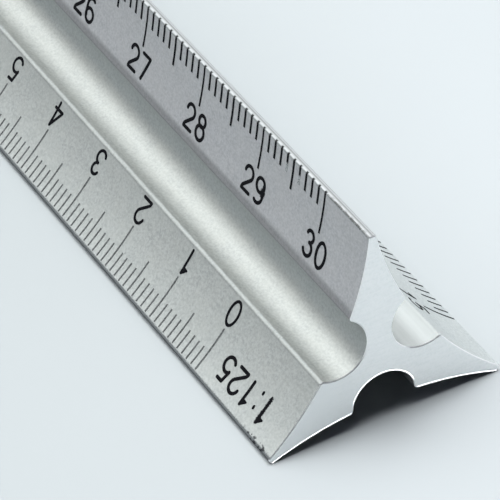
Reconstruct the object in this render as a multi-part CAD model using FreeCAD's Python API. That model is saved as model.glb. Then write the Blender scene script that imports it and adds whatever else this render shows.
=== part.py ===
import FreeCAD, Part
import math
import os

# Triangular scale ruler: one extruded aluminium bar with six inked scales.
# X runs along the bar, Z is up, the bar is centred on X and Y and rests on Z = 0.
# All lengths are in millimetres.

os.makedirs("parts", exist_ok=True)

# ---- driving dimensions: the bar ----
BAR_LENGTH = 319.7          # overall length of the extrusion
EDGE_HALF_SPAN = 10.25      # middle of a side to the border of its edge land
LAND_HALF_WIDTH = 0.30      # half the width of the narrow land on each edge
LAND_ROUNDING = 0.15        # radius on both borders of a land
GROOVE_HALF_OPENING = 2.80  # middle of a side to the sharp groove corner
GROOVE_CORNER_INSET = 1.68  # how far the groove corner lies inside the side line
GROOVE_DEPTH = 2.85         # depth of the finger groove below its corners
GROOVE_ROUNDING = 0.35      # radius on the groove corners
FLANK_HOLLOW = 0.27         # sagitta of the concave flank that carries the ink
FLANK_SPANS = 9             # equal arcs of one flank, so that a mesh of it stays under the ink
END_CHAMFER = 0.08          # light deburring of both sawn ends

# ---- driving dimensions: the ink ----
INK_THICKNESS = 0.02        # height of the printed ink above the flank
ZERO_INSET = 12.8           # end of the bar to the zero line of each scale
RATIO_GAP = 2.85            # zero line to the middle of the last ratio digit
DIGIT_PITCH = 1.90          # middle to middle of two digits in one numeral
GLYPH_HALF_HEIGHT = 1.08    # stroke centre line, middle to top of a digit
RATIO_PEN = 0.31            # stroke width of the ratio
RATIO_HALF_ADVANCE = {":": 0.60, "1": 0.72}     # half the room of a narrow sign in the ratio
DIGIT_HALF_ADVANCE = 0.925  # half the room of any other digit in the ratio

# Each scale: denominator, unit length, number of units, fine steps per unit,
# fine steps per middle line, side of the bar, turned end for end or not,
# line starts, fine, middle and unit line ends, width of the unit lines and of the
# shorter ones, numeral middle, ratio middle, stroke width of the numerals.
# Distances count from the edge along the flank.
SCALES = [
    dict(ratio=100, unit=10.0, units=30, steps=10, mid=5, side=2, turned=False,
         start=0.16, fine=1.70, middle=2.75, full=3.80, line=0.22, short=0.27,
         numeral=5.28, label=2.35, pen=0.32),
    dict(ratio=125, unit=8.0, units=37, steps=10, mid=5, side=2, turned=True,
         start=0.36, fine=2.22, middle=3.42, full=4.50, line=0.16, short=0.16,
         numeral=5.97, label=2.35, pen=0.28),
    dict(ratio=50, unit=20.0, units=15, steps=20, mid=10, side=1, turned=False,
         start=0.20, fine=1.85, middle=2.85, full=3.90, line=0.18, short=0.18,
         numeral=5.35, label=2.35, pen=0.28),
    dict(ratio=75, unit=40.0 / 3.0, units=22, steps=10, mid=5, side=1, turned=True,
         start=0.20, fine=1.85, middle=2.85, full=3.90, line=0.18, short=0.18,
         numeral=5.35, label=2.35, pen=0.28),
    dict(ratio=20, unit=50.0, units=6, steps=50, mid=5, side=0, turned=False,
         start=0.20, fine=1.85, middle=2.85, full=3.90, line=0.18, short=0.18,
         numeral=5.35, label=2.35, pen=0.28),
    dict(ratio=25, unit=40.0, units=7, steps=50, mid=5, side=0, turned=True,
         start=0.20, fine=1.85, middle=2.85, full=3.90, line=0.18, short=0.18,
         numeral=5.35, label=2.35, pen=0.28),
]

# ---- derived section geometry, drawn for the bottom side ----
# u runs across the side, v points into the metal.
CENTRE_V = (EDGE_HALF_SPAN * math.sin(math.radians(30)) + LAND_HALF_WIDTH) / math.cos(math.radians(30))
FLANK_RUN = EDGE_HALF_SPAN - GROOVE_HALF_OPENING
FLANK_CHORD = math.hypot(FLANK_RUN, GROOVE_CORNER_INSET)
FLANK_RADIUS = (FLANK_CHORD ** 2 / 4 + FLANK_HOLLOW ** 2) / (2 * FLANK_HOLLOW)
INWARD = (-GROOVE_CORNER_INSET / FLANK_CHORD, FLANK_RUN / FLANK_CHORD)
FLANK_CENTRE = (-(EDGE_HALF_SPAN + GROOVE_HALF_OPENING) / 2 - INWARD[0] * (FLANK_RADIUS - FLANK_HOLLOW),
                GROOVE_CORNER_INSET / 2 - INWARD[1] * (FLANK_RADIUS - FLANK_HOLLOW))
FLANK_START = math.atan2(0 - FLANK_CENTRE[1], -EDGE_HALF_SPAN - FLANK_CENTRE[0])
GROOVE_RADIUS = (GROOVE_HALF_OPENING ** 2 + GROOVE_DEPTH ** 2) / (2 * GROOVE_DEPTH)
GROOVE_CENTRE = (0.0, GROOVE_CORNER_INSET + GROOVE_DEPTH - GROOVE_RADIUS)


def flank_angle(distance):
    """Direction from the flank centre to a point this far from the edge."""
    return FLANK_START - distance / FLANK_RADIUS


def flank_point(distance, lift=0.0):
    """Point (u, v) on the flank, lifted off the metal by the given height."""
    angle = flank_angle(distance)
    reach = FLANK_RADIUS - lift
    return (FLANK_CENTRE[0] + reach * math.cos(angle), FLANK_CENTRE[1] + reach * math.sin(angle))


def turn_section(point, side):
    """Turn a section point about the middle of the bar on to another side."""
    angle = math.radians(120 * side)
    u = point[0]
    v = point[1] - CENTRE_V
    return (u * math.cos(angle) - v * math.sin(angle),
            u * math.sin(angle) + v * math.cos(angle) + CENTRE_V)


def section_vector(point, x=0.0):
    return FreeCAD.Vector(x, point[0], point[1])


def arc_edge(a, b, c):
    return Part.Arc(a, b, c).toShape()


def line_edge(a, b):
    return Part.makeLine(a, b)


# ---- the bar ----
def toward(origin, target, reach):
    """Point at the given reach from one point in the direction of another."""
    length = math.hypot(target[0] - origin[0], target[1] - origin[1])
    return (origin[0] + (target[0] - origin[0]) / length * reach,
            origin[1] + (target[1] - origin[1]) / length * reach)


def rounding_centres():
    """Centres of the two roundings of the left half of the bottom side."""
    land_out = (-math.cos(math.radians(30)), -math.sin(math.radians(30)))
    land_along = (-land_out[1], land_out[0])
    # Land rounding: LAND_ROUNDING inside the land line, that much outside the flank circle.
    base = (-EDGE_HALF_SPAN - land_out[0] * LAND_ROUNDING, -land_out[1] * LAND_ROUNDING)
    du = base[0] - FLANK_CENTRE[0]
    dv = base[1] - FLANK_CENTRE[1]
    half_b = du * land_along[0] + dv * land_along[1]
    rest = du * du + dv * dv - (FLANK_RADIUS + LAND_ROUNDING) ** 2
    slide = min((-half_b - math.sqrt(half_b ** 2 - rest), -half_b + math.sqrt(half_b ** 2 - rest)), key=abs)
    land_centre = (base[0] + land_along[0] * slide, base[1] + land_along[1] * slide)
    # Groove rounding: touches the flank circle and the groove circle from inside the metal.
    reach_flank = FLANK_RADIUS + GROOVE_ROUNDING
    reach_groove = GROOVE_RADIUS + GROOVE_ROUNDING
    gap = math.hypot(GROOVE_CENTRE[0] - FLANK_CENTRE[0], GROOVE_CENTRE[1] - FLANK_CENTRE[1])
    foot = (reach_flank ** 2 - reach_groove ** 2 + gap ** 2) / (2 * gap)
    lift = math.sqrt(reach_flank ** 2 - foot ** 2)
    on_line = toward(FLANK_CENTRE, GROOVE_CENTRE, foot)
    across = ((GROOVE_CENTRE[1] - FLANK_CENTRE[1]) / gap, -(GROOVE_CENTRE[0] - FLANK_CENTRE[0]) / gap)
    sign = 1 if across[1] > 0 else -1
    groove_centre = (on_line[0] + across[0] * lift * sign, on_line[1] + across[1] * lift * sign)
    return land_centre, groove_centre, land_out


def half_side(inset):
    """Points of the left half of the bottom side, land to groove floor."""
    land_centre, groove_centre, land_out = rounding_centres()
    land_radius = LAND_ROUNDING - inset
    groove_radius = GROOVE_ROUNDING - inset
    on_land = (land_centre[0] + land_out[0] * land_radius, land_centre[1] + land_out[1] * land_radius)
    flank_first = toward(land_centre, FLANK_CENTRE, land_radius)
    flank_last = toward(groove_centre, FLANK_CENTRE, groove_radius)
    groove_first = toward(groove_centre, GROOVE_CENTRE, groove_radius)
    land_middle = toward(land_centre, ((on_land[0] + flank_first[0]) / 2, (on_land[1] + flank_first[1]) / 2),
                         land_radius)
    groove_middle = toward(groove_centre,
                           ((flank_last[0] + groove_first[0]) / 2, (flank_last[1] + groove_first[1]) / 2),
                           groove_radius)
    first_angle = math.atan2(flank_first[1] - FLANK_CENTRE[1], flank_first[0] - FLANK_CENTRE[0])
    last_angle = math.atan2(flank_last[1] - FLANK_CENTRE[1], flank_last[0] - FLANK_CENTRE[0])
    turn = (last_angle - first_angle) / (2 * FLANK_SPANS)
    reach = FLANK_RADIUS + inset
    flank = [(FLANK_CENTRE[0] + reach * math.cos(first_angle + turn * step),
              FLANK_CENTRE[1] + reach * math.sin(first_angle + turn * step))
             for step in range(1, 2 * FLANK_SPANS)]
    floor = (0.0, GROOVE_CENTRE[1] + GROOVE_RADIUS + inset)
    return ([on_land, land_middle, flank_first] + flank
            + [flank_last, groove_middle, groove_first, floor])


def bar_outline(inset, x):
    """Closed outline of the extrusion: three hollow sides joined by narrow lands."""
    half = half_side(inset)
    mirrored = [(-point[0], point[1]) for point in reversed(half[:-1])]
    points = half + mirrored
    edges = []
    for side in range(3):
        at = [section_vector(turn_section(point, side), x) for point in points]
        for first in range(0, len(at) - 2, 2):
            edges.append(arc_edge(at[first], at[first + 1], at[first + 2]))
        edges.append(line_edge(at[-1], section_vector(turn_section(points[0], side + 1), x)))
    return Part.Wire(edges)


def make_bar():
    """The extrusion with both sawn ends lightly deburred."""
    shoulder = BAR_LENGTH / 2 - END_CHAMFER
    bar = Part.Face(bar_outline(0.0, -shoulder)).extrude(FreeCAD.Vector(2 * shoulder, 0, 0))
    for sign in (-1, 1):
        full = bar_outline(0.0, sign * shoulder)
        reduced = bar_outline(END_CHAMFER, sign * BAR_LENGTH / 2)
        bar = bar.fuse(Part.makeLoft([full, reduced], True, True))
    return bar.Solids[0]


# ---- ink lines ----
def film_strip(start, end):
    """Section face of an ink line lying on the flank between two distances."""
    middle = (start + end) / 2
    a = section_vector(flank_point(start))
    b = section_vector(flank_point(end))
    c = section_vector(flank_point(end, INK_THICKNESS))
    d = section_vector(flank_point(start, INK_THICKNESS))
    edges = [arc_edge(a, section_vector(flank_point(middle)), b),
             line_edge(b, c),
             arc_edge(c, section_vector(flank_point(middle, INK_THICKNESS)), d),
             line_edge(d, a)]
    return Part.Face(Part.Wire(edges))


def ink_line(start, end, width):
    strip = film_strip(start, end)
    strip.translate(FreeCAD.Vector(-width / 2, 0, 0))
    return strip.extrude(FreeCAD.Vector(width, 0, 0))


# ---- glyphs: plane shapes with x along the reading direction and y up ----
def on_circle(centre, radius, degrees):
    angle = math.radians(degrees)
    return (centre[0] + radius * math.cos(angle), centre[1] + radius * math.sin(angle))


def flat(point):
    return FreeCAD.Vector(point[0], point[1], 0)


def stroke(elements, pen):
    """One pen stroke with round ends along lines and arcs that run on smoothly.

    A line is (start, end). An arc is (centre, radius, first angle, last angle), and
    turns to the left where the last angle is the larger one.
    """
    half = pen / 2
    left = []
    right = []
    for element in elements:
        if len(element) == 2:
            start, end = element
            length = math.hypot(end[0] - start[0], end[1] - start[1])
            along = ((end[0] - start[0]) / length, (end[1] - start[1]) / length)
            across = (-along[1] * half, along[0] * half)
            left.append(line_edge(flat((start[0] + across[0], start[1] + across[1])),
                                  flat((end[0] + across[0], end[1] + across[1]))))
            right.append(line_edge(flat((end[0] - across[0], end[1] - across[1])),
                                   flat((start[0] - across[0], start[1] - across[1]))))
            heading = (along, along)
            ends = (start, end)
        else:
            centre, radius, first, last = element
            middle = (first + last) / 2
            turn = 1 if last > first else -1
            left.append(arc_edge(flat(on_circle(centre, radius - half * turn, first)),
                                 flat(on_circle(centre, radius - half * turn, middle)),
                                 flat(on_circle(centre, radius - half * turn, last))))
            right.append(arc_edge(flat(on_circle(centre, radius + half * turn, last)),
                                  flat(on_circle(centre, radius + half * turn, middle)),
                                  flat(on_circle(centre, radius + half * turn, first))))
            heading = (on_circle((0, 0), 1, first + 90 * turn), on_circle((0, 0), 1, last + 90 * turn))
            ends = (on_circle(centre, radius, first), on_circle(centre, radius, last))
        if element is elements[0]:
            head = (ends[0], heading[0])
        tail = (ends[1], heading[1])
    caps = []
    for (point, way), sign in ((tail, 1), (head, -1)):
        side = (-way[1] * half * sign, way[0] * half * sign)
        caps.append(arc_edge(flat((point[0] + side[0], point[1] + side[1])),
                             flat((point[0] + way[0] * half * sign, point[1] + way[1] * half * sign)),
                             flat((point[0] - side[0], point[1] - side[1]))))
    return Part.Face(Part.Wire(left + [caps[0]] + right[::-1] + [caps[1]]))


def disc(centre, radius):
    return Part.Face(Part.Wire([Part.Circle(flat(centre), FreeCAD.Vector(0, 0, 1), radius).toShape()]))


def holed(outer, inner):
    """Face between two closed curves."""
    return Part.Face([outer.OuterWire, inner.OuterWire], "Part::FaceMakerBullseye")


def ring(centre, radius, pen):
    return holed(disc(centre, radius + pen / 2), disc(centre, radius - pen / 2))


def oval_face(half_width, half_height):
    ellipse = Part.Ellipse(FreeCAD.Vector(0, half_height, 0), FreeCAD.Vector(-half_width, 0, 0),
                           FreeCAD.Vector(0, 0, 0))
    return Part.Face(Part.Wire([ellipse.toShape()]))


def polygon(points):
    return Part.Face(Part.makePolygon([flat(p) for p in points] + [flat(points[0])]))


def glyph_pieces(name, pen):
    """Overlapping plane faces that make up one digit."""
    top = GLYPH_HALF_HEIGHT
    if name == "0":
        return [holed(oval_face(0.63 + pen / 2, top + pen / 2), oval_face(0.63 - pen / 2, top - pen / 2))]
    if name == "1":
        return [stroke([((0.0, top), (0.0, -top))], pen),
                polygon([(-0.60, 0.56), (-0.62, 0.66), (-0.10, top + 0.10), (0.02, 0.46)])]
    if name == "2":
        bowl = (0.0, top - 0.61)
        bend = (-0.05, -top - 0.05)
        reach = math.hypot(bend[0] - bowl[0], bend[1] - bowl[1])
        bearing = math.degrees(math.atan2(bend[1] - bowl[1], bend[0] - bowl[0]))
        leave = bearing + math.degrees(math.acos((0.61 + 0.55) / reach))
        neck = (on_circle(bowl, 0.61, leave), on_circle(bend, 0.55, leave + 180))
        foot = on_circle(bend, 0.55, 175)
        return [stroke([(bowl, 0.61, 172, leave), neck, (bend, 0.55, leave + 180, 175)], pen),
                stroke([(foot, (0.62, foot[1]))], pen)]
    if name == "3":
        return [stroke([((0.0, top - 0.50), 0.50, 158, -84)], pen),
                stroke([((0.0, 0.59 - top), 0.59, 84, -156)], pen)]
    if name == "4":
        return [stroke([((0.26, top), (0.26, -top))], pen),
                stroke([((0.24, top), (-0.62, -0.48))], pen),
                stroke([((-0.62, -0.48), (0.62, -0.48))], pen)]
    if name == "5":
        bowl = (-0.02, 0.65 - top)
        return [stroke([((0.38, top - 0.10), (-0.30, top - 0.10))], pen),
                stroke([((-0.30, top - 0.10), (-0.46, 0.02))], pen),
                stroke([(bowl, 0.65, 134, -145)], pen)]
    if name == "7":
        return [stroke([((-0.60, top), (0.60, top))], pen),
                stroke([((0.60, top), (-0.20, -top))], pen)]
    if name == "8":
        return [ring((0.0, top - 0.50), 0.50, pen), ring((0.0, 0.62 - top), 0.62, pen)]
    if name == "9":
        return [ring((0.0, top - 0.61), 0.61, pen),
                stroke([((-0.55, 0.10), 1.15, 26, 0), ((0.60, 0.10), (0.60, -0.42)),
                        ((-0.06, -0.42), 0.66, 0, -122)], pen)]
    return [stroke([((-0.18, 0.46), (-0.18, 0.32))], 0.26),
            stroke([((-0.18, -0.92), (-0.18, -1.06))], 0.26)]


def glyph_block(name, pen):
    """Straight-sided block of one digit, or the two dots of the colon."""
    pieces = [face.extrude(FreeCAD.Vector(0, 0, 0.5))
              for face in glyph_pieces("9" if name == "6" else name, pen)]
    if name == ":":
        block = Part.makeCompound(pieces)
    else:
        block = pieces[0].fuse(pieces[1:]).removeSplitter() if len(pieces) > 1 else pieces[0]
    if name == "6":
        block.rotate(FreeCAD.Vector(0, 0, 0), FreeCAD.Vector(0, 0, 1), 180)
    block.translate(FreeCAD.Vector(0, 0, -0.25))
    return block


def ink_layer(reach):
    """The thin curved layer that printed ink fills, this far to both sides in X."""
    strip = film_strip(0.2, FLANK_CHORD - 0.05)
    strip.translate(FreeCAD.Vector(-reach, 0, 0))
    return strip.extrude(FreeCAD.Vector(2 * reach, 0, 0))


def lay_on_flank(name, middle, pen):
    """Solids of one glyph, wrapped on the flank at X = 0 with its middle at a distance."""
    angle = flank_angle(middle)
    seat = flank_point(middle)
    outward = FreeCAD.Vector(0, -math.cos(angle), -math.sin(angle))
    reading = FreeCAD.Vector(1, 0, 0)
    upward = outward.cross(reading)
    matrix = FreeCAD.Matrix(reading.x, upward.x, outward.x, 0,
                            reading.y, upward.y, outward.y, seat[0],
                            reading.z, upward.z, outward.z, seat[1],
                            0, 0, 0, 1)
    return glyph_block(name, pen).transformed(matrix).common(ink_layer(1.2)).Solids


# ---- placing everything ----
def place(shape, scale):
    """Move ink drawn for the bottom side on to its own side and end of the bar."""
    moved = shape.copy()
    if scale["turned"]:
        moved.rotate(FreeCAD.Vector(0, 0, 0), FreeCAD.Vector(0, 0, 1), 180)
    moved.rotate(FreeCAD.Vector(0, 0, CENTRE_V), FreeCAD.Vector(1, 0, 0), 120 * scale["side"])
    return moved


def shifted(shape, x):
    moved = shape.copy()
    moved.translate(FreeCAD.Vector(x, 0, 0))
    return moved


def scale_lines(scale):
    """Unit, middle and fine lines as three lists of solids."""
    kinds = {"unit": ink_line(scale["start"], scale["full"], scale["line"]),
             "middle": ink_line(scale["start"], scale["middle"], scale["short"]),
             "fine": ink_line(scale["start"], scale["fine"], scale["short"])}
    groups = {"unit": [], "middle": [], "fine": []}
    zero = ZERO_INSET - BAR_LENGTH / 2
    for step in range(scale["units"] * scale["steps"] + 1):
        if step % scale["steps"] == 0:
            kind = "unit"
        elif step % scale["mid"] == 0:
            kind = "middle"
        else:
            kind = "fine"
        x = zero + step * scale["unit"] / scale["steps"]
        groups[kind].append(place(shifted(kinds[kind], x), scale))
    return groups


def scale_numerals(scale):
    digits = {name: lay_on_flank(name, scale["numeral"], scale["pen"]) for name in "0123456789"}
    zero = ZERO_INSET - BAR_LENGTH / 2
    solids = []
    for unit in range(scale["units"] + 1):
        text = str(unit)
        first = zero + unit * scale["unit"] - DIGIT_PITCH * (len(text) - 1) / 2
        for index, name in enumerate(text):
            for solid in digits[name]:
                solids.append(place(shifted(solid, first + index * DIGIT_PITCH), scale))
    return solids


def scale_ratio(scale):
    """The ratio printed before the zero line, set from its last digit backwards."""
    x = ZERO_INSET - BAR_LENGTH / 2 - RATIO_GAP
    text = "1:" + str(scale["ratio"])
    solids = []
    for index in range(len(text) - 1, -1, -1):
        name = text[index]
        for solid in lay_on_flank(name, scale["label"], RATIO_PEN):
            solids.append(place(shifted(solid, x), scale))
        if index > 0:
            x -= (RATIO_HALF_ADVANCE.get(name, DIGIT_HALF_ADVANCE)
                  + RATIO_HALF_ADVANCE.get(text[index - 1], DIGIT_HALF_ADVANCE))
    return solids


def save(solids, name, drop):
    """Write one node, lowered so that the bar rests on Z = 0."""
    shape = solids[0] if len(solids) == 1 else Part.makeCompound(solids)
    shape.translate(FreeCAD.Vector(0, 0, -drop))
    shape.exportStep("parts/" + name + ".step")
    print(name, len(solids), "solids", round(shape.Volume, 4), "mm3")


bar = make_bar()
drop = bar.BoundBox.ZMin
save([bar], "extruded_bar", drop)

for scale in SCALES:
    stem = "scale_1to" + str(scale["ratio"])
    groups = scale_lines(scale)
    save(groups["unit"], stem + "_unit_lines", drop)
    save(groups["middle"], stem + "_middle_lines", drop)
    save(groups["fine"], stem + "_fine_lines", drop)
    save(scale_numerals(scale), stem + "_numerals", drop)
    save(scale_ratio(scale), stem + "_ratio", drop)
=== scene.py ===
import bpy
import math
from mathutils import Matrix, Vector


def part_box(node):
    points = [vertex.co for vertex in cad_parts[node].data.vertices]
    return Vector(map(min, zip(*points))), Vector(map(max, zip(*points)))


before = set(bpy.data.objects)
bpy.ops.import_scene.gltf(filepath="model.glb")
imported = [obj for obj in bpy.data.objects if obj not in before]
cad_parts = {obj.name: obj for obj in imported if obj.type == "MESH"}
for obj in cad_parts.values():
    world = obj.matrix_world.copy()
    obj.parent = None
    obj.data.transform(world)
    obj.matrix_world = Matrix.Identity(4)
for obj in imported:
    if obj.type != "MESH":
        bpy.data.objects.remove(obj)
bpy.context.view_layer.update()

scene = bpy.context.scene
scene.view_settings.view_transform = "Standard"
scene.view_settings.look = "None"

MM = 0.001

# ---- places on the bar, in millimetres ----
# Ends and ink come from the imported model. Sizes of the section and of the signs repeat the CAD's.
bar_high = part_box("extruded_bar")[1]
NEAR_END = bar_high.x / MM              # end face next to the 30 of the 1:100 scale
TOP = bar_high.z / MM
AXIS_HEIGHT = 6.26                      # the section turns about this height
EDGE_BAND_RADIUS = 11.78                # beyond this distance from the axis lie the edge lands
EDGE_HALF_SPAN = 10.25                  # middle of a side to the border of its edge land
GROOVE_HALF_OPENING = 2.80              # middle of a side to the corner of its finger groove
GROOVE_CORNER_INSET = 1.68              # the groove corners lie this far inside the side
GROOVE_AXIS_DEPTH = 1.73                # the middle of the groove arc lies this far inside the side
FLANK_HOLLOW = 0.27
FLANK_STRETCH = 1.025                   # distance along the tilted flank per distance along the side
LEFT_GROOVE_AXIS = (-3.927, 8.531)      # y and z of the middle of the left finger groove
TO_TOP_EDGE = (0.0, 0.5, 0.8660254)     # along the left side of the section, towards the top edge
OUT_OF_LEFT_SIDE = (0.0, -0.8660254, 0.5)

tick_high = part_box("scale_1to100_unit_lines")[1]
UNIT_LINE_WIDTH = 0.22
LAST_TICK = tick_high.x / MM - 0.5 * UNIT_LINE_WIDTH - NEAR_END   # the 30 line, counted from the near end
TICK_PITCH = 1.0

# Ink faults on the left side, placed on the signs that have them.
ratio_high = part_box("scale_1to125_ratio")[1]
UNIT_PITCH = 10.0 * TICK_PITCH
DIGIT_MIDDLE = 5.28                     # from the top edge to the middle of the 1:100 numerals
RATIO_MIDDLE = 2.35                     # from the low edge to the middle of the ratio
SIGN_HALF_HEIGHT = 1.08
HALF_DIGIT_PITCH = 0.95
BOWL_REACH = 0.50                       # middle of a 9 to the outer side of its bowl
NINE = LAST_TICK - UNIT_PITCH + HALF_DIGIT_PITCH + BOWL_REACH      # in the 29
CLOGGED_NINE = ((NINE, DIGIT_MIDDLE - 0.15), (NINE, DIGIT_MIDDLE + 0.10), 0.34)
ONE_FLAG_REACH = 0.62                   # stem of a 1 to the tip of its flag
ONE = ratio_high.x / MM - NEAR_END - ONE_FLAG_REACH     # stem of the 1 that begins the ratio
BOLD_ONE = ((ONE, RATIO_MIDDLE + SIGN_HALF_HEIGHT), (ONE, RATIO_MIDDLE - SIGN_HALF_HEIGHT), 0.20)
WORN_TICKS = (4, 6)                     # fine lines worn in the middle, counted from the 30 line


# ---- camera ----
CAMERA_TURN = -25.165       # degrees about the vertical, from the end the bar points to
CAMERA_TILT = 38.257        # degrees above the table
CAMERA_ROLL = -5.288
CAMERA_FROM_END = (0.23032, -0.11866, 0.22221)      # metres from the foot of the near end face
CAMERA_LENS = 310.19        # millimetres, on a sensor 36 mm wide


def add_camera():
    """A long lens looks at the near end of the bar from its front, well above it."""
    data = bpy.data.cameras.new("view_camera")
    data.sensor_width = 36.0
    data.lens = CAMERA_LENS
    data.clip_start = 0.01
    data.clip_end = 50.0
    data.dof.use_dof = False
    camera = bpy.data.objects.new("view_camera", data)
    turn = math.radians(CAMERA_TURN)
    tilt = math.radians(CAMERA_TILT)
    roll = math.radians(CAMERA_ROLL)
    back = Vector((math.cos(tilt) * math.cos(turn), math.cos(tilt) * math.sin(turn), math.sin(tilt)))
    level = Vector((-math.sin(turn), math.cos(turn), 0.0))
    upright = back.cross(level)
    right = level * math.cos(roll) + upright * math.sin(roll)
    up = upright * math.cos(roll) - level * math.sin(roll)
    place = Vector((bar_high.x, 0.0, 0.0)) + Vector(CAMERA_FROM_END)
    camera.matrix_world = Matrix((
        (right.x, up.x, back.x, place.x),
        (right.y, up.y, back.y, place.y),
        (right.z, up.z, back.z, place.z),
        (0.0, 0.0, 0.0, 1.0)))
    scene.collection.objects.link(camera)
    scene.camera = camera


# ---- node helpers ----
class Nodes:
    """Small wrapper that adds and links shader nodes of one material."""

    def __init__(self, tree):
        self.tree = tree
        self.tree.nodes.clear()
        self.coords = self.tree.nodes.new("ShaderNodeTexCoord")

    def link(self, source, target):
        self.tree.links.new(source, target)

    def fill(self, socket, value):
        if isinstance(value, bpy.types.NodeSocket):
            self.link(value, socket)
        else:
            socket.default_value = value

    def millimetres(self, stretch=(1.0, 1.0, 1.0)):
        """Object coordinates in millimetres, optionally stretched per axis."""
        node = self.tree.nodes.new("ShaderNodeMapping")
        node.inputs["Scale"].default_value = tuple(s / MM for s in stretch)
        self.link(self.coords.outputs["Object"], node.inputs["Vector"])
        return node.outputs["Vector"]

    def noise(self, vector, scale, detail=2.0, roughness=0.5):
        node = self.tree.nodes.new("ShaderNodeTexNoise")
        node.inputs["Scale"].default_value = scale
        node.inputs["Detail"].default_value = detail
        node.inputs["Roughness"].default_value = roughness
        self.link(vector, node.inputs["Vector"])
        return node.outputs["Fac"]

    def ramp(self, value, low, high, out_low=0.0, out_high=1.0):
        node = self.tree.nodes.new("ShaderNodeMapRange")
        node.interpolation_type = "SMOOTHSTEP"
        self.fill(node.inputs["Value"], value)
        node.inputs["From Min"].default_value = low
        node.inputs["From Max"].default_value = high
        node.inputs["To Min"].default_value = out_low
        node.inputs["To Max"].default_value = out_high
        return node.outputs["Result"]

    def math(self, operation, a, b=0.0):
        node = self.tree.nodes.new("ShaderNodeMath")
        node.operation = operation
        self.fill(node.inputs[0], a)
        self.fill(node.inputs[1], b)
        return node.outputs["Value"]

    def dot(self, vector, direction):
        node = self.tree.nodes.new("ShaderNodeVectorMath")
        node.operation = "DOT_PRODUCT"
        self.link(vector, node.inputs[0])
        node.inputs[1].default_value = direction
        return node.outputs["Value"]

    def both(self, *masks):
        result = masks[0]
        for mask in masks[1:]:
            result = self.math("MULTIPLY", result, mask)
        return result

    def either(self, *masks):
        result = masks[0]
        for mask in masks[1:]:
            result = self.math("MAXIMUM", result, mask)
        return result

    def mix(self, factor, a, b):
        node = self.tree.nodes.new("ShaderNodeMix")
        node.data_type = "RGBA"
        self.fill(node.inputs["Factor"], factor)
        self.fill(node.inputs["A"], a)
        self.fill(node.inputs["B"], b)
        return node.outputs["Result"]

    def blend(self, factor, a, b):
        """Value a where the factor is 0 and value b where it is 1."""
        node = self.tree.nodes.new("ShaderNodeMix")
        node.data_type = "FLOAT"
        self.fill(node.inputs["Factor"], factor)
        self.fill(node.inputs["A"], a)
        self.fill(node.inputs["B"], b)
        return node.outputs["Result"]

    def product(self, colour, tint):
        node = self.tree.nodes.new("ShaderNodeVectorMath")
        node.operation = "MULTIPLY"
        self.link(colour, node.inputs[0])
        self.link(tint, node.inputs[1])
        return node.outputs["Vector"]

    def scale(self, colour, factor):
        node = self.tree.nodes.new("ShaderNodeVectorMath")
        node.operation = "SCALE"
        self.link(colour, node.inputs[0])
        self.fill(node.inputs["Scale"], factor)
        return node.outputs["Vector"]

    def join(self, x, y, z=0.0):
        node = self.tree.nodes.new("ShaderNodeCombineXYZ")
        self.fill(node.inputs["X"], x)
        self.fill(node.inputs["Y"], y)
        self.fill(node.inputs["Z"], z)
        return node.outputs["Vector"]

    def gap(self, vector, point):
        """Distance from a vector to a fixed or computed point."""
        node = self.tree.nodes.new("ShaderNodeVectorMath")
        node.operation = "DISTANCE"
        self.link(vector, node.inputs[0])
        self.fill(node.inputs[1], point)
        return node.outputs["Value"]

    def speck(self, vector, point, radius, wobble, soft=0.04):
        """Mask of a small uneven round spot."""
        distance = self.math("ADD", self.gap(vector, point), wobble)
        return self.ramp(distance, radius + soft, radius - soft)

    def stroke(self, vector, start, end, half_width, wobble):
        """Mask of an uneven straight mark with round ends."""
        start = Vector((*start, 0.0))
        run = Vector((*end, 0.0)) - start
        share = self.dot(vector, tuple(run / run.length_squared))
        share = self.math("SUBTRACT", share, start.dot(run) / run.length_squared)
        share = self.math("MINIMUM", self.math("MAXIMUM", share, 0.0), 1.0)
        scaled = self.tree.nodes.new("ShaderNodeVectorMath")
        scaled.operation = "MULTIPLY_ADD"
        self.link(self.join(share, share, 0.0), scaled.inputs[0])
        scaled.inputs[1].default_value = tuple(run)
        scaled.inputs[2].default_value = tuple(start)
        return self.speck(vector, scaled.outputs["Vector"], half_width, wobble)

    def bump(self, height, distance, strength=1.0, under=None):
        node = self.tree.nodes.new("ShaderNodeBump")
        if under is not None:
            self.link(under, node.inputs["Normal"])
        node.inputs["Strength"].default_value = strength
        node.inputs["Distance"].default_value = distance
        self.link(height, node.inputs["Height"])
        return node.outputs["Normal"]

    def lean(self, normal, mask, direction):
        """Normal turned towards a fixed direction where the mask is 1."""
        node = self.tree.nodes.new("ShaderNodeMix")
        node.data_type = "VECTOR"
        node.factor_mode = "UNIFORM"
        self.fill(node.inputs["Factor"], mask)
        self.fill(node.inputs["A"], normal)
        self.fill(node.inputs["B"], direction)
        return node.outputs["Result"]

    def split(self, vector):
        node = self.tree.nodes.new("ShaderNodeSeparateXYZ")
        self.link(vector, node.inputs["Vector"])
        return node.outputs["X"], node.outputs["Y"], node.outputs["Z"]

    def principled(self, **values):
        output = self.tree.nodes.new("ShaderNodeOutputMaterial")
        node = self.tree.nodes.new("ShaderNodeBsdfPrincipled")
        for key, value in values.items():
            self.fill(node.inputs[key.replace("_", " ")], value)
        self.link(node.outputs["BSDF"], output.inputs["Surface"])
        return node


def new_material(name):
    material = bpy.data.materials.new(name)
    material.use_nodes = True
    return material, Nodes(material.node_tree)


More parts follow.
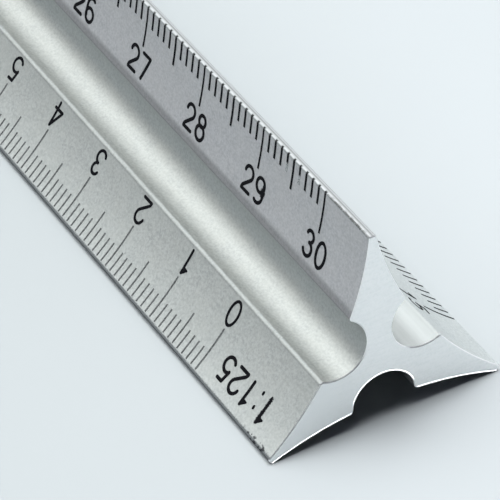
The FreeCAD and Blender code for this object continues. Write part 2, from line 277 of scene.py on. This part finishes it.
def bottom_outline_height(n, y):
    """Height of the section's lower outline above the table, outside the groove."""
    share = n.math("DIVIDE", n.math("SUBTRACT", EDGE_HALF_SPAN, n.math("ABSOLUTE", y)),
                   EDGE_HALF_SPAN - GROOVE_HALF_OPENING)
    bulge = n.math("MULTIPLY", share, n.math("SUBTRACT", 1.0, share))
    return n.math("ADD", n.math("MULTIPLY", share, GROOVE_CORNER_INSET),
                  n.math("MULTIPLY", bulge, 4.0 * FLANK_HOLLOW))


def anodised_metal():
    """Satin anodised sides with fine grain and die lines, raw sawn metal on the ends."""
    material, n = new_material("satin_anodised_aluminium")
    place = n.millimetres()
    x, y, z = n.split(place)
    from_end = n.math("SUBTRACT", x, NEAR_END)
    normal = n.coords.outputs["Normal"]
    normal_x, normal_y, normal_z = n.split(normal)
    grain = n.noise(place, 4.5, 3.0, 0.65)
    coarse = n.noise(place, 1.6, 2.0)
    mottle = n.noise(place, 0.35, 2.0)
    lines = n.noise(n.millimetres((0.03, 1.0, 1.0)), 5.0, 3.0, 0.6)
    wobble = n.ramp(n.noise(place, 9.0, 2.0), 0.3, 0.7, -0.06, 0.06)

    along = n.math("SUBTRACT", n.dot(place, TO_TOP_EDGE), AXIS_HEIGHT * TO_TOP_EDGE[2])
    from_top = n.math("MULTIPLY", n.math("SUBTRACT", EDGE_HALF_SPAN, along), FLANK_STRETCH)
    from_low = n.math("MULTIPLY", n.math("ADD", along, EDGE_HALF_SPAN), FLANK_STRETCH)
    top_flat = n.join(from_end, from_top)
    low_flat = n.join(from_end, from_low)
    on_left = n.both(n.ramp(n.dot(normal, OUT_OF_LEFT_SIDE), 0.55, 0.75), n.ramp(y, 0.2, 0.0))
    facing = n.math("ABSOLUTE", normal_x)
    is_raw = n.ramp(facing, 0.35, 0.45)
    is_side = n.math("SUBTRACT", 1.0, is_raw)

    # Anodised sides: grain, blotches and a few pale grains.
    side = n.mix(n.ramp(grain, 0.3, 0.7), (0.362, 0.384, 0.386, 1.0), (0.495, 0.520, 0.520, 1.0))
    side = n.mix(n.ramp(coarse, 0.3, 0.7, 0.0, 0.25), side, (0.500, 0.520, 0.508, 1.0))
    side = n.mix(n.ramp(mottle, 0.3, 0.7, 0.0, 0.20), side, (0.480, 0.498, 0.482, 1.0))

    # Raw metal on the sawn ends, with short smears across, painted shade on the left wing and painted
    # highlights on the rims.
    smears = n.noise(n.millimetres((1.0, 0.5, 3.0)), 1.6, 3.0, 0.6)
    end = n.mix(n.ramp(grain, 0.25, 0.75), (0.86, 0.88, 0.875, 1.0), (0.94, 0.955, 0.955, 1.0))
    end = n.mix(n.ramp(smears, 0.35, 0.65, 0.0, 0.5), end, (0.96, 0.965, 0.96, 1.0))
    # Painted shade: the end face is painted darker towards its left wing (y below 0).
    end = n.mix(n.ramp(y, 0.0, -6.0, 0.0, 0.8), end, (0.83, 0.85, 0.85, 1.0))
    # Painted highlight: the chamfered rims of the end faces and a band just above their lower outline are
    # painted near white; the band's normal is also leaned upwards like a burr.
    painted_rim_highlight = n.both(is_raw, n.ramp(facing, 0.97, 0.92))
    above_outline = n.math("SUBTRACT", z, bottom_outline_height(n, y))
    arch_axis = (0.0, GROOVE_AXIS_DEPTH, 0.0)
    around_arch = n.math("SUBTRACT", n.gap(n.join(y, z), arch_axis), GROOVE_HALF_OPENING)
    outside = n.ramp(n.math("ABSOLUTE", y), GROOVE_HALF_OPENING - 0.05, GROOVE_HALF_OPENING + 0.05)
    to_outline = n.blend(outside, around_arch, above_outline)
    burr_and_painted_highlight = n.both(n.ramp(to_outline, 0.26, 0.17), n.ramp(z, 5.0, 4.8), is_raw)

    # The narrow lands on the three long edges.
    height = n.math("SUBTRACT", z, AXIS_HEIGHT)
    radius = n.math("SQRT", n.math("ADD", n.math("MULTIPLY", y, y), n.math("MULTIPLY", height, height)))
    is_top = n.both(is_side, n.ramp(z, TOP - 2.0, TOP - 1.5))
    is_land = n.both(is_top, n.ramp(radius, EDGE_BAND_RADIUS - 0.02, EDGE_BAND_RADIUS + 0.03))
    to_tick = n.math("PINGPONG", n.math("SUBTRACT", from_end, LAST_TICK), 0.5 * TICK_PITCH)
    in_scale = n.ramp(from_end, LAST_TICK + 0.35, LAST_TICK + 0.15)
    land_left = n.ramp(y, -0.06, -0.14)
    # Painted highlight: paler beads between the ticks along the left rounding of the top land.
    painted_highlight_bead = n.both(is_land, land_left, n.ramp(n.math("ADD", to_tick, wobble), 0.15, 0.25))
    land_line = n.both(is_land, n.ramp(n.math("ABSOLUTE", n.math("SUBTRACT", y, 0.04)), 0.09, 0.02))
    bleed = n.both(is_top, in_scale, n.ramp(y, -0.14, -0.19), n.ramp(from_top, 0.26, 0.20),
                   n.ramp(n.math("ADD", to_tick, n.math("MULTIPLY", wobble, 0.5)), 0.15, 0.10))
    border = n.both(on_left, n.math("SUBTRACT", 1.0, in_scale),
                    n.ramp(n.math("ADD", from_top, n.math("MULTIPLY", wobble, 1.5)), 0.20, 0.08))
    low_line = n.both(is_side, n.ramp(y, -7.5, -8.0), n.ramp(z, 3.0, 2.5),
                      n.ramp(n.math("ADD", from_low, n.math("MULTIPLY", wobble, 0.6)), 0.31, 0.17))

    # Stray ink, and specks scattered by noise on the low edge at the near end.
    near_left = n.both(on_left, is_side)
    stray_ink = n.both(near_left, n.either(n.stroke(top_flat, *CLOGGED_NINE, wobble),
                                           n.stroke(low_flat, *BOLD_ONE, wobble)))
    flecks = n.noise(place, 2.4, 1.0)
    edge_specks = n.both(is_side, n.ramp(y, -7.5, -8.0), n.ramp(from_low, 0.55, 0.35),
                         n.ramp(from_end, -5.0, -3.5), n.ramp(flecks, 0.55, 0.60))

    # Painted light on the anodised sides: the top flank and the right side are painted paler, the upper
    # flank along the left groove's upper lip and a strip under its lower corner are painted darker as
    # shade, and slight tints on the top flank, the low flank and the up-facing part of the left groove
    # stand in for the colour of reflected light.
    around_groove = n.gap(n.join(0.0, y, z), (0.0, *LEFT_GROOVE_AXIS))
    in_groove = n.ramp(around_groove, GROOVE_HALF_OPENING + 0.10, GROOVE_HALF_OPENING + 0.04)
    top_flank_painted_light = n.both(on_left, n.ramp(along, 0.0, 0.5), n.math("SUBTRACT", 1.0, in_groove))
    around_right = n.gap(n.join(0.0, n.math("MULTIPLY", y, -1.0), z), (0.0, *LEFT_GROOVE_AXIS))
    right_side_painted_light = n.both(n.ramp(normal_y, 0.3, 0.6), n.ramp(normal_z, -0.1, 0.1))
    on_corner = n.both(n.ramp(along, -3.30, -3.05), n.ramp(along, -2.50, -2.70), n.ramp(y, -4.0, -4.5))
    # Painted light: the top flank and the right side are painted paler.
    tone = n.blend(top_flank_painted_light, 1.0, 1.18)
    tone = n.blend(right_side_painted_light, tone, 1.18)
    # Painted shade: the strip under the left groove's lower corner is painted darker.
    corner = n.both(on_corner, n.math("SUBTRACT", 1.0, in_groove))
    tone = n.blend(in_groove, tone, 1.0)
    tone = n.blend(corner, tone, 0.74)
    # Painted shade along the upper lip of the left finger groove.
    tone = n.math("MULTIPLY", tone, n.blend(n.both(top_flank_painted_light, n.ramp(from_top, 6.5, 7.1)), 1.0, 0.62))
    low_flank_painted_tint = n.both(on_left, n.ramp(along, -2.0, -2.5), n.math("SUBTRACT", 1.0, in_groove))
    # Painted tints that stand in for the colour of reflected light on the top flank, the low flank and
    # the up-facing part of the left groove.
    tint = n.mix(top_flank_painted_light, (1.0, 1.0, 1.0, 1.0), (1.04, 0.99, 1.01, 1.0))
    tint = n.mix(low_flank_painted_tint, tint, (1.035, 1.02, 0.99, 1.0))
    tint = n.mix(n.both(in_groove, n.ramp(normal_z, 0.4, 0.8)), tint, (1.035, 1.01, 0.965, 1.0))
    side = n.product(n.scale(side, tone), tint)

    # Painted shade: the right finger groove is mostly painted one flat, darker grey.
    side = n.mix(n.ramp(around_right, 2.95, 2.85, 0.0, 0.8), side, (0.435, 0.450, 0.440, 1.0))
    colour = n.mix(is_raw, side, end)
    # Painted highlight on the end rims and the burr band.
    colour = n.mix(n.either(painted_rim_highlight, burr_and_painted_highlight), colour, (0.97, 0.98, 0.98, 1.0))
    colour = n.mix(is_land, colour, (0.37, 0.38, 0.38, 1.0))
    # Painted highlight beads on the top land.
    colour = n.mix(painted_highlight_bead, colour, (0.47, 0.48, 0.48, 1.0))
    colour = n.mix(n.math("MULTIPLY", land_line, 0.8), colour, (0.20, 0.205, 0.205, 1.0))
    colour = n.mix(n.math("MULTIPLY", border, n.ramp(coarse, 0.3, 0.7, 0.3, 0.9)), colour,
                   (0.12, 0.12, 0.115, 1.0))
    colour = n.mix(low_line, colour, (0.15, 0.16, 0.165, 1.0))
    colour = n.mix(n.math("MULTIPLY", edge_specks, 0.85), colour, (0.02, 0.02, 0.025, 1.0))
    inked = n.either(stray_ink, bleed)
    colour = n.mix(inked, colour, (0.004, 0.004, 0.005, 1.0))

    rough = n.math("ADD", n.ramp(grain, 0.2, 0.8, 0.53, 0.63), n.ramp(lines, 0.3, 0.7, -0.03, 0.03))
    rough = n.blend(is_raw, rough, n.ramp(grain, 0.2, 0.8, 0.36, 0.48))
    relief = n.math("ADD", grain, n.math("MULTIPLY", lines, 0.6))
    surface = n.lean(normal, burr_and_painted_highlight, (0.50, -0.16, 0.85))
    n.principled(Base_Color=colour, Metallic=n.math("SUBTRACT", 1.0, inked), Roughness=rough,
                 Specular_Tint=(0.4, 0.4, 0.4, 1.0), Normal=n.bump(relief, 0.000010, 0.6, surface))
    return material


def ink(name, dark, pale):
    """Matt printed ink with slightly uneven cover, flaked off two lines of the 1:100 scale."""
    material, n = new_material(name)
    place = n.millimetres()
    x, y, _ = n.split(place)
    from_end = n.math("SUBTRACT", x, NEAR_END)
    along = n.math("SUBTRACT", n.dot(place, TO_TOP_EDGE), AXIS_HEIGHT * TO_TOP_EDGE[2])
    from_top = n.math("MULTIPLY", n.math("SUBTRACT", EDGE_HALF_SPAN, along), FLANK_STRETCH)
    cover = n.noise(place, 6.0, 3.0, 0.6)
    flakes = n.noise(place, 11.0, 2.0)
    on_top_flank = n.both(n.ramp(y, 0.0, -0.1), n.ramp(from_top, 3.0, 2.5))
    gone = 0.0
    for tick in WORN_TICKS:
        line_x = LAST_TICK - tick * TICK_PITCH
        here = n.ramp(n.math("ABSOLUTE", n.math("SUBTRACT", from_end, line_x)), 0.3, 0.2)
        gone = n.math("MAXIMUM", gone, n.both(here, on_top_flank, n.ramp(from_top, 0.8, 1.0),
                                              n.ramp(flakes, 0.61, 0.55)))
    colour = n.mix(n.ramp(cover, 0.35, 0.7), dark, pale)
    colour = n.mix(gone, colour, (0.46, 0.48, 0.48, 1.0))
    n.principled(Base_Color=colour, Metallic=gone, Roughness=n.ramp(cover, 0.2, 0.8, 0.6, 0.8),
                 Specular_IOR_Level=0.06, Normal=n.bump(cover, 0.000008, 0.5))
    return material


def floor_paper():
    material, n = new_material("pale_table")
    tone = n.noise(n.millimetres(), 0.02, 3.0)
    fine = n.noise(n.millimetres(), 1.5, 3.0)
    colour = n.mix(n.ramp(tone, 0.3, 0.7), (0.434, 0.456, 0.463, 1.0), (0.442, 0.464, 0.471, 1.0))
    # Painted shade: the table is painted darker where its distance along (0.475, 0.877) falls from 100 mm
    # to 20 mm and below.
    across = n.dot(n.millimetres(), (0.475, 0.877, 0.0))
    colour = n.mix(n.ramp(across, 100.0, 20.0), colour, (0.385, 0.408, 0.410, 1.0))
    n.principled(Base_Color=colour, Roughness=0.85, Specular_IOR_Level=0.2,
                 Normal=n.bump(fine, 0.00002, 0.1))
    return material


FLOOR_HALF_WIDTH = 6.0      # metres


def add_floor():
    mesh = bpy.data.meshes.new("table_top")
    half = FLOOR_HALF_WIDTH
    corners = [(-half, -half, 0), (half, -half, 0), (half, half, 0), (-half, half, 0)]
    mesh.from_pydata(corners, [], [(0, 1, 2, 3)])
    floor = bpy.data.objects.new("table_top", mesh)
    scene.collection.objects.link(floor)
    floor.data.materials.append(floor_paper())


def add_world():
    """Soft studio: bright overhead and behind the bar, dim on the side it is seen from."""
    world = bpy.data.worlds.new("soft_studio")
    world.use_nodes = True
    n = Nodes(world.node_tree)
    x, y, z = n.split(n.coords.outputs["Generated"])
    behind = n.ramp(x, 0.30, 0.0)
    right = n.ramp(y, -0.12, 0.12)
    low = n.ramp(z, 0.27, 0.17)
    high = n.ramp(z, 0.43, 0.57)
    overhead = n.ramp(z, 0.76, 0.88)
    rear = n.blend(high, 0.06, n.blend(right, 3.5, 2.0))
    rear = n.blend(overhead, rear, 2.0)
    rear = n.blend(low, rear, n.blend(right, n.ramp(z, 0.08, 0.17, 0.5, 0.02), 4.6))
    front = n.ramp(z, 0.05, 0.20, 0.6, 0.03)
    strength = n.blend(behind, front, rear)
    softbox = n.dot(n.coords.outputs["Generated"], (-0.06, 0.0, 0.998))
    strength = n.math("ADD", strength, n.ramp(softbox, 0.93, 0.985, 0.0, 9.5))
    background = world.node_tree.nodes.new("ShaderNodeBackground")
    lit = n.either(behind, n.ramp(softbox, 0.6, 0.85), n.ramp(z, 0.22, 0.12))
    n.link(n.mix(lit, (0.50, 0.52, 1.0, 1.0), (0.95, 0.98, 1.0, 1.0)), background.inputs["Color"])
    n.link(strength, background.inputs["Strength"])
    output = world.node_tree.nodes.new("ShaderNodeOutputWorld")
    n.link(background.outputs["Background"], output.inputs["Surface"])
    scene.world = world


def set_material(node, material):
    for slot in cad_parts[node].material_slots:
        slot.material = material


add_camera()
add_world()
add_floor()

metal = anodised_metal()
black_ink = ink("black_line_ink", (0.002, 0.002, 0.003, 1.0), (0.006, 0.006, 0.008, 1.0))
grey_ink = ink("thin_grey_line_ink", (0.06, 0.062, 0.062, 1.0), (0.14, 0.145, 0.145, 1.0))
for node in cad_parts:
    if node == "extruded_bar":
        set_material(node, metal)
    elif node.startswith("scale_1to125") and node.endswith("lines"):
        set_material(node, grey_ink)
    else:
        set_material(node, black_ink)
